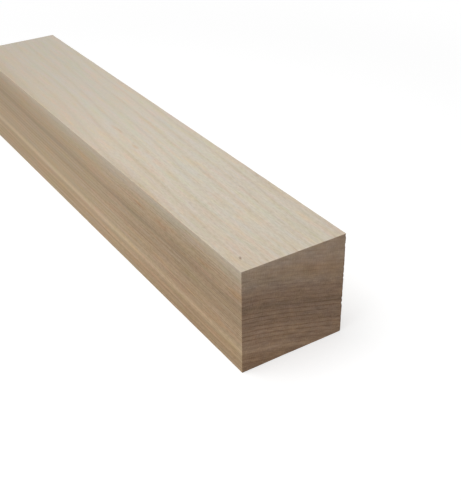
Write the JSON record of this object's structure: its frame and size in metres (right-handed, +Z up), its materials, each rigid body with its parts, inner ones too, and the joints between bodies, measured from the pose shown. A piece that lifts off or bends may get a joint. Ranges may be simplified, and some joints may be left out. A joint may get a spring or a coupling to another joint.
{
  "type": "wood turning blank",
  "caption": "Squared length of bare pale hardwood with eased arrises and square-sawn ends, ready to be centred on a lathe and turned into a spindle, handle or leg.",
  "frame": {"origin": "middle of the underside, the long face that the blank lies on", "axes": "+X along the length towards the near end in the picture, +Y across the width towards the hidden long side, +Z up through the thickness"},
  "size_m": [0.3, 0.0514, 0.0497],
  "materials": {
    "timber": "bare planed hardwood, matt, with long cream, tan and pale brown bands of grain and darker ringed end grain"
  },
  "bodies": {
    "root": {"turning_blank": "timber"}
  },
  "joints": []
}
